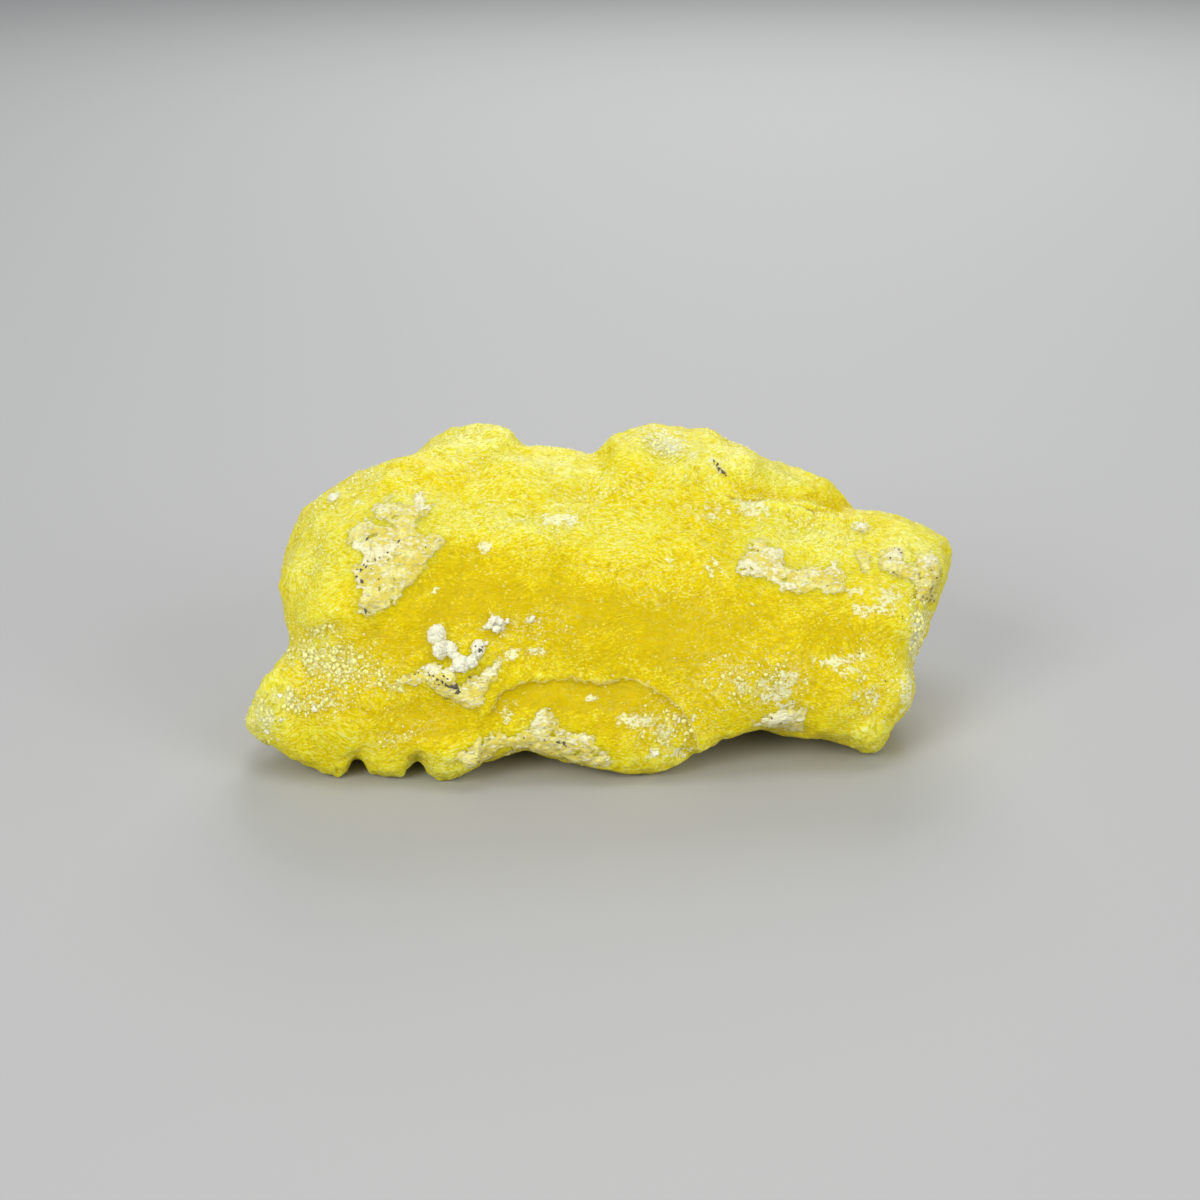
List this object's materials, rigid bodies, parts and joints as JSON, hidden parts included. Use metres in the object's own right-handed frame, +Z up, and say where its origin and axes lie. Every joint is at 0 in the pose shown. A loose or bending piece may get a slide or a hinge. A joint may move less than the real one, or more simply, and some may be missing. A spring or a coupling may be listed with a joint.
{
  "type": "brucite specimen",
  "caption": "Lumpy yellow brucite hand specimen with pale crusts and nodules, resting on its own feet; for display or dressing a scene.",
  "frame": {"origin": "middle of the bounding box's base, on the ground the specimen rests on", "axes": "+X along the specimen's length, towards its right end; -Y towards the displayed front; +Z up"},
  "size_m": [0.0712, 0.0354, 0.0295],
  "materials": {
    "brucite": "satin",
    "crust": "matte"
  },
  "bodies": {
    "root": {"brucite_mass": "brucite"}
  },
  "joints": []
}
